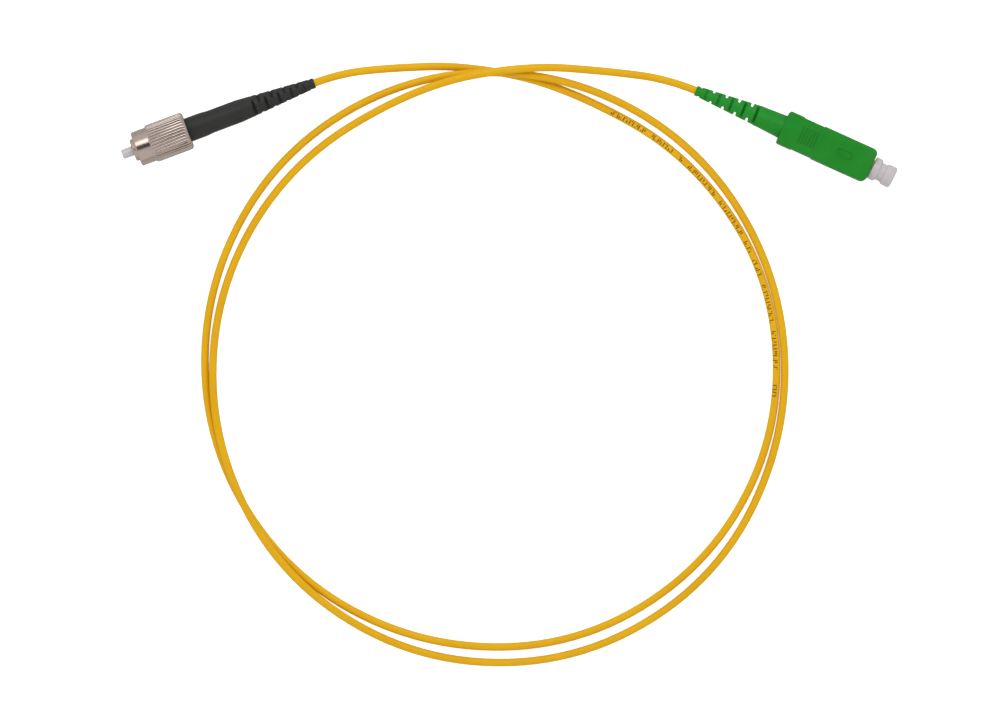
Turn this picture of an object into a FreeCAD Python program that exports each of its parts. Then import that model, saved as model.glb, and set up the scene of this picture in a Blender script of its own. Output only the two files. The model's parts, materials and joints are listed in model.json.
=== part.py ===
"""Fibre optic patch cord: FC plug on one end, SC plug with an angled ferrule on the other.

Millimetres, +Z up, the cord lies on z = 0. Each plug is built in a frame of its own, with
x along the plug's axis towards its mating end and z up, and is then set on the end of the cord.
"""
import FreeCAD, Part
import math
import os

V = FreeCAD.Vector

# ---------------------------------------------------------------- driving dimensions
# fits (radial, unless the name says gap)
running_fit = 0.03
sliding_fit = 0.02
clear_fit = 0.05
loose_fit = 0.15
seat_gap = 0.05
# how far a cut runs past the face it opens
overcut = 1.00

# cable
cable_radius = 1.00
jacket_wall = 0.33
buffer_radius = 0.45
bare_fibre_radius = 0.0625
boot_bore_clearance = 0.05

# ferrule set, the same in both plugs, placed from the ferrule's tip
ferrule_radius = 1.25
ferrule_length = 10.5
ferrule_chamfer = 0.30
ferrule_rear_chamfer = 0.15
ferrule_angle = 8.0
fibre_hole_clearance = 0.0125
collar_radius = 2.20
collar_length = 2.80
collar_setback = 8.10
collar_notch = 0.60
collar_notch_depth = 0.40
collar_notch_length = 1.40
collar_notches = 4
flange_tube_radius = 1.20
flange_tube_length = 6.70
spring_length = 4.20
spring_wire_radius = 0.16
spring_turns = 5.5
spring_wire_flats = 12
spring_clearance = 0.20
shoulder_thickness = 0.75
ferrule_travel = 1.00

# crimp, the same in both plugs
post_radius = 1.75
post_length = 7.20
post_barb = 0.10
post_barbs = 4
post_barb_rise = 0.36
post_bore = 0.60
yarn_thickness = 0.17
crimp_wall = 0.32
crimp_neck = 0.30
crimp_tail_length = 1.60
crimp_tail_wall = 0.37

# boots
boot_bore_fit = 0.05
tail_length = 17.10
tail_root_radius = 2.68
tail_end_radius = 1.32
tail_edge = 0.15
slot_first = 0.40
slot_pitch = 3.45
slot_width = 0.65
slot_count = 5
top_slot_web_share = 0.40
side_slot_web_share = 0.58
slot_web_over_cable = 0.15

# FC plug: x = 0 is the coupling nut's rear face
nut_length = 14.20
nut_rib_radius = 5.00
nut_rib_depth = 0.22
nut_ribs = 38
nut_rib_top_share = 0.16
nut_rib_foot_share = 0.40
nut_rear_chamfer = 0.50
nut_rib_bevel = 0.55
nut_rib_length = 9.70
nut_nose_radius = 4.55
nut_nose_chamfer = 0.25
nut_wall = 1.60
nut_chamber_radius = 4.00
nut_chamber_length = 6.60
thread_minor_radius = 3.60
thread_major_radius = 4.00
thread_pitch = 0.75
thread_turns = 7
thread_crest = 0.15
snap_ring_front = 7.00
snap_ring_thickness = 0.75
snap_ring_radius = 4.30
snap_ring_gap_deg = 28.0
nut_travel = 2.50
fc_body_reach = 0.90
fc_ferrule_reach = 3.00
fc_barrel_radius = 2.90
fc_barrel_nose_bore = 2.05
fc_barrel_chamfer = 0.20
fc_flange_radius = 3.85
fc_key_width = 2.00
fc_key_height = 0.45
fc_key_length = 3.00
fc_key_setback = 3.10
key_root = 0.30
fc_collar_radius = 2.90
fc_collar_length = 0.95
fc_boot_front_radius = 3.14
fc_boot_front_length = 4.85
fc_boot_step_length = 2.00
fc_boot_radius = 2.95
fc_boot_body_length = 7.80
fc_boot_shoulder_length = 2.50
fc_boot_shoulder_radius = 2.76
fc_boot_smooth_length = 18.40
fc_tail_turn_deg = -36.0

# SC plug: x = 0 is the grip body's rear face
grip_length = 25.00
grip_width = 9.00
grip_height = 7.40
grip_wall = 0.75
grip_rear_wall = 2.00
grip_front_corner = 1.40
grip_rear_corner = 0.60
grip_edge = 0.40
grip_travel = 1.80
waist_start = 4.20
waist_length = 5.70
waist_depth = 0.20
rib_groove_count = 6
rib_groove_pitch = 0.80
rib_groove_width = 0.35
rib_groove_depth = 0.15
rib_groove_top_span = 4.40
rib_groove_side_span = 4.20
dimple_centre = 17.20
dimple_length = 4.40
dimple_width = 2.00
dimple_depth = 0.25
window_length = 6.50
window_latch_gap = 0.40
window_height = 3.20
key_width = 2.20
key_height = 0.50
key_length = 13.00
key_nose_setback = 0.60
frame_front_setback = 0.60
frame_clearance = 0.10
frame_edge = 0.40
latch_start = 15.30
latch_length = 2.00
latch_height = 0.50
latch_width = 2.60
latch_root = 0.20
stop_ring_radius = 2.47
cap_bore_reach = 0.40
sc_ferrule_reach = 1.10
frame_nose_bore = 2.45
sc_boot_radius = 3.10
sc_boot_spigot_radius = 2.85
sc_boot_smooth_length = 6.30
sc_boot_bend_radius = 2.75
sc_boot_bend_length = 1.00
sc_boot_bend_deg = 2.30

# dust cap on the SC plug
cap_gap = 0.25
cap_sleeve_radius = 1.95
cap_sleeve_length = 4.50
cap_base_radius = 3.02
cap_base_length = 1.75
cap_waist_radius = 2.36
cap_waist_length = 1.90
cap_head_radius = 2.84
cap_head_length = 2.60
cap_edge = 0.30
cap_head_edge = 0.70
cap_tilt_deg = 3.0

# the cord's route, from the FC boot's end to the SC boot's end; it lies on z = 0
floor = cable_radius
over_one = 3.20
over_two = 5.50
fc_axis_height = nut_rib_radius
sc_axis_height = grip_height / 2 + key_height
cord_route = [
    (-50.3, 12.9, fc_axis_height), (-44.0, 15.25, fc_axis_height), (-31.9, 16.8, 2.9),
    (-11.6, 17.7, floor),
    (13.9, 12.4, floor), (47.0, -5.7, floor), (68.3, -38.1, floor), (69.8, -77.6, floor),
    (51.2, -112.0, floor), (17.3, -132.7, floor), (-22.4, -132.9, floor), (-57.3, -114.5, floor),
    (-78.4, -80.4, floor), (-79.1, -40.4, floor), (-60.0, -5.0, floor), (-25.4, 15.5, over_one),
    (14.5, 15.8, over_one), (49.6, -3.5, floor), (70.3, -37.9, floor), (72.0, -77.9, floor),
    (54.0, -114.9, floor), (18.3, -136.9, floor), (-23.4, -136.8, floor),
    (-58.4, -115.5, over_one), (-77.0, -80.0, over_one), (-76.3, -41.1, floor),
    (-57.1, -7.8, floor), (-23.8, 12.1, over_two), (4.4, 17.5, over_two), (26.4, 15.9, 3.5),
    (40.9, 13.9, sc_axis_height), (48.1, 10.98, sc_axis_height),
]
arc_share = 0.45

# ---------------------------------------------------------------- worked-out places
same_place = 1e-6
jacket_bore = cable_radius - jacket_wall
boot_cable_bore = cable_radius + boot_bore_clearance
yarn_inner = post_radius + post_barb + running_fit
yarn_outer = yarn_inner + yarn_thickness
crimp_bore = yarn_outer + running_fit
crimp_radius = crimp_bore + crimp_wall
crimp_tail_bore = cable_radius + running_fit
crimp_tail_radius = crimp_tail_bore + crimp_tail_wall
chamber_radius = collar_radius + loose_fit
tube_bore = flange_tube_radius + loose_fit

fc_body_front = nut_length + fc_body_reach
fc_tip = fc_body_front + fc_ferrule_reach
fc_flange_rear = nut_wall + seat_gap
fc_flange_front = snap_ring_front - snap_ring_thickness - nut_travel - 2 * seat_gap
fc_boot_front = fc_flange_rear - fc_collar_length - seat_gap
fc_boot_end = fc_boot_front - fc_boot_smooth_length - tail_length

sc_tip = grip_length + sc_ferrule_reach
frame_front = grip_length - frame_front_setback
frame_rear = grip_rear_wall + 2 * seat_gap
frame_half_width = grip_width / 2 - grip_wall - frame_clearance
frame_half_height = grip_height / 2 - grip_wall - frame_clearance
sc_boot_front = grip_rear_wall - 2 * seat_gap
cap_start = grip_length + cap_gap
window_end = latch_start + latch_length + grip_travel + window_latch_gap


# ---------------------------------------------------------------- shape helpers
def lathe(outline):
    """Turns a closed outline of (x, radius) points about the x axis."""
    points = [V(x, r, 0) for x, r in outline]
    face = Part.Face(Part.makePolygon(points + points[:1]))
    return face.revolve(V(0, 0, 0), V(1, 0, 0), 360)


def rod(x0, x1, radius):
    """A cylinder on the x axis from x0 to x1."""
    low = min(x0, x1)
    return Part.makeCylinder(radius, abs(x1 - x0), V(low, 0, 0), V(1, 0, 0))


def tube(x0, x1, radius, bore):
    """A plain ring on the x axis."""
    return rod(x0, x1, radius).cut(rod(x0, x1, bore))


def block(x0, x1, y0, y1, z0, z1):
    """A box between two corners."""
    return Part.makeBox(x1 - x0, y1 - y0, z1 - z0, V(x0, y0, z0))


def turned(shape, degrees, axis=V(1, 0, 0), centre=V(0, 0, 0)):
    """A copy of the shape turned about an axis."""
    copy = shape.copy()
    copy.rotate(centre, axis, degrees)
    return copy


def around(shape, count):
    """The shape repeated evenly about the x axis, as a list."""
    return [turned(shape, 360.0 * i / count) for i in range(count)]


# ---------------------------------------------------------------- boot path
def bend_frame(start, length, degrees):
    """Centre of the bend's arc, its radius, and the placement of what lies behind it.

    The path runs back along -x to `start`, bends towards -y and goes on straight.
    """
    angle = math.radians(degrees)
    radius = length / angle
    centre = V(start, -radius, 0)
    behind = FreeCAD.Placement(
        V(start - radius * math.sin(angle), -radius * (1 - math.cos(angle)), 0),
        FreeCAD.Rotation(V(0, 0, 1), degrees),
    )
    return centre, behind


def bent_rod(x0, radius, bend_start, bend_length, bend_deg, straight):
    """A rod along the path: straight from x0, round the bend, then straight again."""
    centre, behind = bend_frame(bend_start, bend_length, bend_deg)
    section = Part.Face(Part.Wire(Part.makeCircle(radius, V(bend_start, 0, 0), V(1, 0, 0))))
    bend = section.revolve(centre, V(0, 0, 1), bend_deg)
    rear = rod(-straight, 0, radius)
    rear.Placement = behind
    return rod(bend_start, x0, radius).fuse([bend, rear]).removeSplitter()


def sc_along(x0, radius):
    """A rod along the SC boot's path from x0 to the boot's end."""
    return bent_rod(
        x0, radius, -sc_boot_smooth_length, sc_boot_bend_length, sc_boot_bend_deg, tail_length
    )


# ---------------------------------------------------------------- parts both plugs share
def ferrule(tip, angled):
    """Ceramic ferrule with its fibre hole; the end is square, or cut back at an angle."""
    rear = tip - ferrule_length
    hole = bare_fibre_radius + fibre_hole_clearance
    body = lathe([
        (rear, hole),
        (rear, ferrule_radius - ferrule_rear_chamfer),
        (rear + ferrule_rear_chamfer, ferrule_radius),
        (tip - ferrule_chamfer, ferrule_radius),
        (tip, ferrule_radius - ferrule_chamfer),
        (tip, hole),
    ])
    return body.cut(angle_cutter(tip)) if angled else body


def angle_cutter(tip):
    """What the angled polish takes off: all in front of a plane that leans through the tip."""
    reach = ferrule_radius + overcut
    cutter = block(tip, tip + reach, -reach, reach, -2 * reach, reach)
    return turned(cutter, ferrule_angle, V(0, 1, 0), V(tip, 0, ferrule_radius - ferrule_chamfer))


def ferrule_flange(tip):
    """Metal holder: a notched collar that grips the ferrule, and a tube for the fibre."""
    front = tip - collar_setback
    rear = front - collar_length
    pocket = tip - ferrule_length - seat_gap / 2
    tube_end = rear - flange_tube_length
    body = lathe([
        (tube_end, buffer_radius + clear_fit),
        (tube_end, flange_tube_radius),
        (rear, flange_tube_radius),
        (rear, collar_radius),
        (front, collar_radius),
        (front, ferrule_radius + sliding_fit / 2),
        (pocket, ferrule_radius + sliding_fit / 2),
        (pocket, buffer_radius + clear_fit),
    ])
    notch = block(
        front - collar_notch_length, front + overcut,
        -collar_notch / 2, collar_notch / 2,
        collar_radius - collar_notch_depth, collar_radius + overcut,
    )
    return body.cut(around(notch, collar_notches))


def ferrule_spring(tip):
    """Compression spring between the collar and the back body, a wire wound about the tube."""
    front = tip - collar_setback - collar_length - seat_gap
    radius = flange_tube_radius + spring_clearance + spring_wire_radius
    rise = spring_length - 2 * seat_gap - 2 * spring_wire_radius
    coil = Part.makeHelix(rise / spring_turns, rise, radius)
    steps = [2 * math.pi * i / spring_wire_flats for i in range(spring_wire_flats)]
    ring = [V(radius + spring_wire_radius * math.cos(a), 0, spring_wire_radius * math.sin(a))
            for a in steps]
    wire = Part.makePolygon(ring + ring[:1])
    spring = Part.Wire(coil).makePipeShell([wire], True, True)
    spring.rotate(V(0, 0, 0), V(0, 1, 0), 90)
    spring.translate(V(front - spring_wire_radius - rise, 0, 0))
    return spring


def bare_fibre(tip, angled):
    """The glass fibre in the ferrule's hole, flush with the polished end."""
    fibre = rod(tip - ferrule_length, tip, bare_fibre_radius)
    return fibre.cut(angle_cutter(tip)) if angled else fibre


def post_outline(front, bore_end, root):
    """Outline of a crimp post that starts at root: its bores, then its barbed outside."""
    end = root - post_length
    barb_pitch = post_length / (post_barbs + 1)
    outline = [
        (front, tube_bore),
        (bore_end, tube_bore),
        (bore_end, post_bore),
        (end, post_bore),
        (end, post_radius),
    ]
    for i in range(post_barbs):
        at = end + barb_pitch * (i + 0.5)
        outline += [
            (at, post_radius),
            (at + post_barb_rise, post_radius + post_barb),
            (at + 2 * post_barb_rise, post_radius),
        ]
    return outline + [(root, post_radius)]


def crimped_yarn(root):
    """Aramid yarn folded back over the post, under the crimp ring."""
    return tube(root - post_length, root - crimp_neck, yarn_outer, yarn_inner)


def crimp_ring(root):
    """Stepped sleeve: the wide part holds the yarn on the post, the narrow part the jacket."""
    front = root - seat_gap
    neck = root - post_length - seat_gap
    end = neck - crimp_neck - crimp_tail_length
    return lathe([
        (front, crimp_bore),
        (neck, crimp_bore),
        (neck, crimp_tail_bore),
        (end, crimp_tail_bore),
        (end, crimp_tail_radius),
        (neck - crimp_neck, crimp_tail_radius),
        (neck - crimp_neck, crimp_radius),
        (front, crimp_radius),
    ])


def boot_bore(front, root):
    """The hollow in a boot that takes the crimp ring."""
    step = root - post_length - crimp_neck - 2 * seat_gap
    end = step - crimp_tail_length - seat_gap
    wide = rod(step, front, crimp_radius + boot_bore_fit)
    return wide.fuse(rod(end, step, crimp_tail_radius + boot_bore_fit))


def tail_radius(back):
    """Radius of a boot's tail at a distance behind the tail's start."""
    return tail_root_radius + (tail_end_radius - tail_root_radius) * back / tail_length


def tail_slot(back, web_share):
    """Two cuts, above and below, that leave a web across the tail and a sleeve round the cable."""
    reach = tail_root_radius + overcut
    web = web_share * tail_radius(back)
    low, high = -back - slot_width / 2, -back + slot_width / 2
    sleeve = rod(low, high, cable_radius + slot_web_over_cable)
    return [
        block(low, high, -reach, reach, web, reach).cut(sleeve),
        block(low, high, -reach, reach, -reach, -web).cut(sleeve),
    ]


def boot_tail():
    """Strain relief: a cone back along -x from 0, with slots that take turns at 90 degrees."""
    tail = lathe([
        (0, 0),
        (0, tail_root_radius),
        (-tail_length + tail_edge, tail_end_radius),
        (-tail_length, tail_end_radius - tail_edge),
        (-tail_length, 0),
    ])
    cuts = []
    for i in range(slot_count):
        back = slot_first + i * slot_pitch
        cuts += tail_slot(back, top_slot_web_share)
        sides = tail_slot(back + slot_pitch / 2, side_slot_web_share)
        cuts += [turned(cut, 90) for cut in sides]
    return tail.cut(cuts)


# ---------------------------------------------------------------- FC plug
def fc_coupling_nut():
    """Ribbed nut with a threaded mouth, a chamber for the body's flange and a groove."""
    rib_front = nut_rear_chamfer + nut_rib_length
    floor_radius = nut_rib_radius - nut_rib_depth
    star = []
    step = 2 * math.pi / nut_ribs
    for i in range(nut_ribs):
        for radius, share in ((floor_radius, -nut_rib_foot_share), (nut_rib_radius, -nut_rib_top_share),
                              (nut_rib_radius, nut_rib_top_share), (floor_radius, nut_rib_foot_share)):
            angle = (i + share) * step
            star.append(V(0, radius * math.cos(angle), radius * math.sin(angle)))
    ribs = Part.Face(Part.makePolygon(star + star[:1])).extrude(V(rib_front, 0, 0))
    envelope = lathe([
        (0, 0),
        (0, nut_rib_radius - nut_rear_chamfer),
        (nut_rear_chamfer, nut_rib_radius),
        (rib_front - nut_rib_bevel, nut_rib_radius),
        (rib_front, floor_radius),
        (rib_front, 0),
    ])
    nose = lathe([
        (rib_front - overcut, 0),
        (rib_front - overcut, nut_nose_radius),
        (nut_length - nut_nose_chamfer, nut_nose_radius),
        (nut_length, nut_nose_radius - nut_nose_chamfer),
        (nut_length, 0),
    ])
    return ribs.common(envelope).fuse(nose).cut(nut_hollow())


def nut_hollow():
    """All that the nut is bored out to: rear hole, chamber, snap ring groove and thread."""
    rear_hole = fc_boot_front_radius + loose_fit + clear_fit
    chamber_end = nut_wall + nut_chamber_length
    groove = snap_ring_radius + clear_fit
    groove_front = snap_ring_front + running_fit
    groove_rear = snap_ring_front - snap_ring_thickness - running_fit
    mouth = nut_length - thread_pitch / 2
    outline = [
        (-overcut, 0), (-overcut, rear_hole), (nut_wall, rear_hole),
        (nut_wall, nut_chamber_radius), (groove_rear, nut_chamber_radius),
        (groove_rear, groove), (groove_front, groove), (groove_front, nut_chamber_radius),
        (chamber_end, nut_chamber_radius), (chamber_end, thread_minor_radius),
    ]
    first = mouth - thread_turns * thread_pitch
    for i in range(thread_turns):
        at = first + i * thread_pitch
        outline += [
            (at + thread_crest / 2, thread_minor_radius),
            (at + thread_pitch / 2, thread_major_radius),
            (at + thread_pitch - thread_crest / 2, thread_minor_radius),
        ]
    return lathe(outline + [
        (mouth, thread_minor_radius),
        (nut_length, thread_major_radius),
        (nut_length + overcut, thread_major_radius),
        (nut_length + overcut, 0),
    ])


def fc_nut_retaining_ring():
    """Split snap ring in the nut's groove; it stops the nut against the body's flange."""
    bore = fc_barrel_radius + loose_fit + clear_fit
    rear = snap_ring_front - snap_ring_thickness
    ring = tube(rear, snap_ring_front, snap_ring_radius, bore)
    half = snap_ring_radius * math.tan(math.radians(snap_ring_gap_deg / 2))
    return ring.cut(block(
        rear - overcut, snap_ring_front + overcut, -half, half, -snap_ring_radius - overcut, 0
    ))


def fc_plug_body():
    """Inner body: flange, barrel with its key, spring chamber and the nose round the ferrule."""
    shoulder_rear = fc_tip - collar_setback + seat_gap
    body = lathe([
        (fc_flange_rear, chamber_radius),
        (fc_flange_rear, fc_flange_radius),
        (fc_flange_front, fc_flange_radius),
        (fc_flange_front, fc_barrel_radius),
        (fc_body_front - fc_barrel_chamfer, fc_barrel_radius),
        (fc_body_front, fc_barrel_radius - fc_barrel_chamfer),
        (fc_body_front, fc_barrel_nose_bore),
        (shoulder_rear + shoulder_thickness, fc_barrel_nose_bore),
        (shoulder_rear + shoulder_thickness, ferrule_radius + loose_fit),
        (shoulder_rear, ferrule_radius + loose_fit),
        (shoulder_rear, chamber_radius),
    ])
    key_front = fc_body_front - fc_key_setback
    key = block(
        key_front - fc_key_length, key_front,
        -fc_key_width / 2, fc_key_width / 2,
        fc_barrel_radius - key_root, fc_barrel_radius + fc_key_height,
    )
    return body.fuse(key).cut(rod(fc_flange_rear, shoulder_rear, chamber_radius))


def fc_back_body():
    """Closes the spring chamber and carries the crimp post."""
    seat = fc_tip - collar_setback - collar_length - spring_length
    root = fc_flange_rear - fc_collar_length
    bore_end = seat - 2 * ferrule_travel - (flange_tube_length - spring_length)
    return lathe(post_outline(seat, bore_end, root) + [
        (root, fc_collar_radius),
        (fc_flange_rear, fc_collar_radius),
        (fc_flange_rear, chamber_radius - sliding_fit),
        (seat, chamber_radius - sliding_fit),
    ])


def fc_boot():
    """Black boot: thicker round the crimp, a long smooth body, then the slotted tail."""
    front = fc_boot_front
    step = front - fc_boot_front_length
    body = step - fc_boot_step_length
    shoulder = body - fc_boot_body_length
    start = front - fc_boot_smooth_length
    smooth = lathe([
        (front, 0), (front, fc_boot_front_radius), (step, fc_boot_front_radius),
        (body, fc_boot_radius), (shoulder, fc_boot_radius),
        (shoulder - fc_boot_shoulder_length, fc_boot_shoulder_radius),
        (start, tail_root_radius), (start, 0),
    ])
    tail = turned(boot_tail(), fc_tail_turn_deg)
    tail.translate(V(start, 0, 0))
    cable = rod(fc_boot_end - overcut, front, boot_cable_bore)
    root = fc_flange_rear - fc_collar_length
    return smooth.fuse(tail).cut([cable, boot_bore(front, root)])


def fc_plug():
    """Every piece of the FC plug in the plug's own frame."""
    root = fc_flange_rear - fc_collar_length
    cable_front = root - post_length
    fibre_front = fc_tip - ferrule_length - ferrule_travel - seat_gap
    return {
        "fc_ferrule": ferrule(fc_tip, False),
        "fc_ferrule_flange": ferrule_flange(fc_tip),
        "fc_ferrule_spring": ferrule_spring(fc_tip),
        "fc_bare_fibre": bare_fibre(fc_tip, False),
        "fc_plug_body": fc_plug_body(),
        "fc_coupling_nut": fc_coupling_nut(),
        "fc_nut_retaining_ring": fc_nut_retaining_ring(),
        "fc_back_body": fc_back_body(),
        "fc_crimped_yarn": crimped_yarn(root),
        "fc_crimp_ring": crimp_ring(root),
        "fc_buffered_fibre": rod(fc_boot_end, fibre_front, buffer_radius),
        "fc_cable_end": tube(fc_boot_end, cable_front, cable_radius, jacket_bore),
        "fc_boot": fc_boot(),
    }


# ---------------------------------------------------------------- SC plug
def grip_outline():
    """The grip body seen from above: a rectangle with big corners in front."""
    half = grip_width / 2
    front, rear = grip_front_corner, grip_rear_corner
    dip = 1 - math.sqrt(0.5)
    x1 = grip_length

    def corner(a, b, c):
        return Part.Arc(V(*a), V(*b), V(*c)).toShape()

    def line(a, b):
        return Part.LineSegment(V(*a), V(*b)).toShape()

    edges = [
        line((rear, half), (x1 - front, half)),
        corner((x1 - front, half), (x1 - front * dip, half - front * dip), (x1, half - front)),
        line((x1, half - front), (x1, front - half)),
        corner((x1, front - half), (x1 - front * dip, front * dip - half), (x1 - front, -half)),
        line((x1 - front, -half), (rear, -half)),
        corner((rear, -half), (rear * dip, rear * dip - half), (0, rear - half)),
        line((0, rear - half), (0, half - rear)),
        corner((0, half - rear), (rear * dip, half - rear * dip), (rear, half)),
    ]
    return Part.Face(Part.Wire(edges))


def grip_grooves():
    """Cross grooves in the waist, on the two wide faces and on the two sides."""
    half_w, half_h = grip_width / 2, grip_height / 2
    span = (rib_groove_count - 1) * rib_groove_pitch + rib_groove_width
    first = waist_start + (waist_length - span) / 2
    cuts = []
    for i in range(rib_groove_count):
        x0 = first + i * rib_groove_pitch
        x1 = x0 + rib_groove_width
        y = rib_groove_top_span / 2
        z = rib_groove_side_span / 2
        top = half_h - rib_groove_depth
        side = half_w - waist_depth - rib_groove_depth
        cuts += [
            block(x0, x1, -y, y, top, half_h + overcut),
            block(x0, x1, -y, y, -half_h - overcut, -top),
            block(x0, x1, side, half_w + overcut, -z, z),
            block(x0, x1, -half_w - overcut, -side, -z, z),
        ]
    return cuts


def obround(centre, length, width, z0, z1):
    """A slot with round ends along x."""
    reach = (length - width) / 2
    slot = block(centre - reach, centre + reach, -width / 2, width / 2, z0, z1)
    ends = [Part.makeCylinder(width / 2, z1 - z0, V(centre + s * reach, 0, z0)) for s in (-1, 1)]
    return slot.fuse(ends)


def sc_grip_body():
    """Green outer housing: a sleeve that slides on the plug frame, with its polarity key below."""
    half_w, half_h = grip_width / 2, grip_height / 2
    shell = grip_outline().extrude(V(0, 0, grip_height))
    shell.translate(V(0, 0, -half_h))
    rims = [e for e in shell.Edges if abs(abs(e.CenterOfMass.z) - half_h) < same_place]
    shell = shell.makeChamfer(grip_edge, rims)
    key_front = grip_length - key_nose_setback
    key = block(
        key_front - key_length, key_front, -key_width / 2, key_width / 2,
        -half_h - key_height, -half_h + key_root,
    )
    waist = waist_start + waist_length
    cavity_w, cavity_h = half_w - grip_wall, half_h - grip_wall
    cuts = grip_grooves() + [
        block(waist_start, waist, half_w - waist_depth, half_w + overcut, -half_h, half_h),
        block(waist_start, waist, -half_w - overcut, waist_depth - half_w, -half_h, half_h),
        obround(dimple_centre, dimple_length, dimple_width, half_h - dimple_depth, half_h + overcut),
        block(grip_rear_wall, grip_length + overcut, -cavity_w, cavity_w, -cavity_h, cavity_h),
        rod(-overcut, grip_rear_wall + overcut, sc_boot_radius + loose_fit),
        block(
            window_end - window_length, window_end, -half_w - overcut, half_w + overcut,
            -window_height / 2, window_height / 2,
        ),
    ]
    return shell.fuse(key).cut(cuts)


def sc_plug_frame():
    """Inner frame: spring chamber, ferrule opening, and the two latch ramps on its sides."""
    seat = sc_tip - collar_setback - collar_length - spring_length
    shoulder = sc_tip - collar_setback + seat_gap
    w, h = frame_half_width, frame_half_height
    shell = block(frame_rear, frame_front, -w, w, -h, h)
    nose = [e for e in shell.Edges if all(abs(p.X - frame_front) < same_place for p in e.Vertexes)]
    shell = shell.makeChamfer(frame_edge, nose)
    ramp = [
        V(latch_start, w - latch_root, 0), V(latch_start, w + latch_height, 0),
        V(latch_start + latch_length / 2, w + latch_height, 0),
        V(latch_start + latch_length, w - latch_root, 0),
    ]
    latch = Part.Face(Part.makePolygon(ramp + ramp[:1])).extrude(V(0, 0, latch_width))
    latch.translate(V(0, 0, -latch_width / 2))
    shell = shell.fuse([latch, turned(latch, 180)])
    return shell.cut([
        rod(frame_rear - overcut, seat, stop_ring_radius + running_fit),
        rod(seat, shoulder, chamber_radius),
        rod(shoulder - overcut, frame_front, ferrule_radius + loose_fit),
        rod(shoulder + shoulder_thickness, frame_front + overcut, frame_nose_bore),
    ])


def sc_stop_ring():
    """Back body: closes the frame, seats the spring and carries the crimp post."""
    seat = sc_tip - collar_setback - collar_length - spring_length
    root = frame_rear + seat_gap
    bore_end = seat - 2 * ferrule_travel - (flange_tube_length - spring_length)
    return lathe(post_outline(seat, bore_end, root) + [
        (root, stop_ring_radius),
        (seat, stop_ring_radius),
    ])


def sc_boot():
    """Green boot: a spigot inside the grip, a smooth part, a slight bend, the slotted tail."""
    root = frame_rear + seat_gap
    start = -sc_boot_smooth_length
    smooth = lathe([
        (sc_boot_front, 0), (sc_boot_front, sc_boot_spigot_radius),
        (2 * seat_gap, sc_boot_spigot_radius), (2 * seat_gap, sc_boot_radius),
        (0, sc_boot_radius), (start, sc_boot_bend_radius), (start, 0),
    ])
    centre, behind = bend_frame(start, sc_boot_bend_length, sc_boot_bend_deg)
    section = Part.Wire(Part.makeCircle(sc_boot_bend_radius, V(start, 0, 0), V(1, 0, 0)))
    bend = Part.Face(section).revolve(centre, V(0, 0, 1), sc_boot_bend_deg)
    tail = boot_tail()
    tail.Placement = behind
    cable = sc_along(sc_boot_front, boot_cable_bore)
    return smooth.fuse([bend, tail]).cut([cable, boot_bore(sc_boot_front, root)])


def sc_dust_cap():
    """Soft cap on the ferrule: a sleeve inside the frame and a knob that sits a little askew."""
    base = cap_start + cap_base_length
    waist = base + cap_waist_length
    end = waist + cap_head_length
    knob = lathe([
        (cap_start, 0),
        (cap_start, cap_base_radius),
        (base - cap_edge, cap_base_radius),
        (base, cap_base_radius - cap_edge),
        (base + cap_edge, cap_waist_radius),
        (waist - cap_edge, cap_waist_radius),
        (waist, cap_head_radius - cap_edge / 2),
        (waist + cap_edge, cap_head_radius),
        (end - cap_head_edge, cap_head_radius),
        (end - cap_head_edge / 3, cap_head_radius - cap_head_edge / 3),
        (end, cap_head_radius - cap_head_edge),
        (end, 0),
    ])
    knob = turned(knob, -cap_tilt_deg, V(0, 0, 1), V(cap_start, 0, 0))
    sleeve = rod(cap_start - cap_sleeve_length, cap_start + overcut, cap_sleeve_radius)
    bore = rod(
        cap_start - cap_sleeve_length - overcut, sc_tip + cap_bore_reach, ferrule_radius + sliding_fit
    )
    return knob.fuse(sleeve).cut(bore)


def sc_plug():
    """Every piece of the SC plug in the plug's own frame."""
    root = frame_rear + seat_gap
    cable_front = root - post_length
    fibre_front = sc_tip - ferrule_length - ferrule_travel - seat_gap
    return {
        "sc_ferrule": ferrule(sc_tip, True),
        "sc_ferrule_flange": ferrule_flange(sc_tip),
        "sc_ferrule_spring": ferrule_spring(sc_tip),
        "sc_bare_fibre": bare_fibre(sc_tip, True),
        "sc_grip_body": sc_grip_body(),
        "sc_plug_frame": sc_plug_frame(),
        "sc_stop_ring": sc_stop_ring(),
        "sc_crimped_yarn": crimped_yarn(root),
        "sc_crimp_ring": crimp_ring(root),
        "sc_buffered_fibre": sc_along(fibre_front, buffer_radius),
        "sc_cable_end": sc_along(cable_front, cable_radius).cut(sc_along(cable_front, jacket_bore)),
        "sc_boot": sc_boot(),
        "sc_dust_cap": sc_dust_cap(),
    }


# ---------------------------------------------------------------- the cord
def cord_path(points):
    """Straight runs joined by tangent arcs; each arc takes the same share of its shorter run."""
    points = [V(*p) for p in points]
    edges = []
    at = points[0]
    radii = []
    for before, corner, after in zip(points, points[1:], points[2:]):
        back, ahead = before - corner, after - corner
        turn = math.pi - back.getAngle(ahead)
        setback = arc_share * min(back.Length, ahead.Length)
        radius = setback / math.tan(turn / 2)
        back.normalize()
        ahead.normalize()
        start, end = corner + back * setback, corner + ahead * setback
        inward = back + ahead
        inward.normalize()
        middle = corner + inward * (radius / math.cos(turn / 2) - radius)
        edges.append(Part.LineSegment(at, start).toShape())
        edges.append(Part.Arc(start, middle, end).toShape())
        radii.append(radius)
        at = end
    edges.append(Part.LineSegment(at, points[-1]).toShape())
    return Part.Wire(edges), radii


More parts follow.
